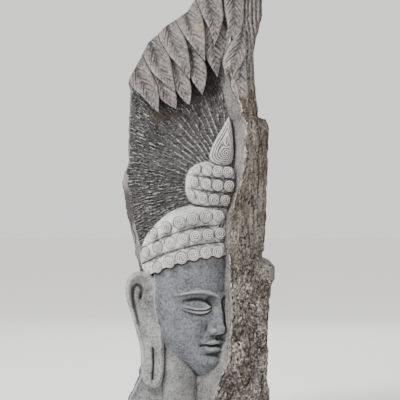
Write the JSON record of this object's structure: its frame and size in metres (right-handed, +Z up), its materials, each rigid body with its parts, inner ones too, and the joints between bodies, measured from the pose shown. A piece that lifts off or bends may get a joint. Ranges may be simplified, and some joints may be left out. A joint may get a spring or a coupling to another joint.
{
  "type": "carved stone slab with a buddha head",
  "caption": "Tall natural stone slab with half of a calm head carved in relief, snail-curl hair, a flame topknot, chiselled rays and drooping leaves above.",
  "frame": {"origin": "middle of the flat underside, on the stone's middle plane", "axes": "+Z up, the carved front faces -Y, +X to the viewer's right"},
  "size_m": [0.5855, 0.3555, 1.824],
  "materials": {
    "stone": "matt grey stone: smooth pale carving, dark pecked ground, brown weathered skin"
  },
  "bodies": {
    "root": {"carved_stone": "stone"}
  },
  "joints": []
}
